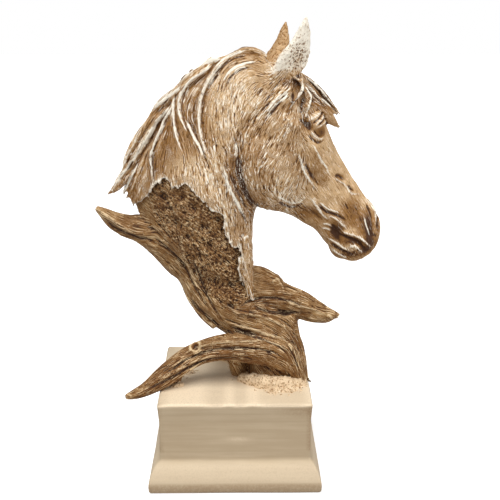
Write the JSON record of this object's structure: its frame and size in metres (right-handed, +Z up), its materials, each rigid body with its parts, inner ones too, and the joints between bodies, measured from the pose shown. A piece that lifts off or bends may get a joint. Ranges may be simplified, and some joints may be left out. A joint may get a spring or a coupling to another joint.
{
  "type": "horse head sculpture",
  "caption": "Cast horse head and neck with a windswept mane, growing out of twisted driftwood whose roots stand on a square moulded plinth.",
  "frame": {"origin": "middle of the plinth's underside", "axes": "+Z up; +X the way the horse's neck faces, with the head turned a little towards +Y"},
  "size_m": [0.2176, 0.129, 0.3427],
  "materials": {
    "stone_paint": "cast resin painted cream stone with faint brush streaks",
    "painted_resin": "cast resin painted tan, washed dark brown in the hollows and dry-brushed cream on the ridges"
  },
  "bodies": {
    "root": {"plinth": "stone_paint", "horse_and_driftwood": "painted_resin"}
  },
  "joints": []
}
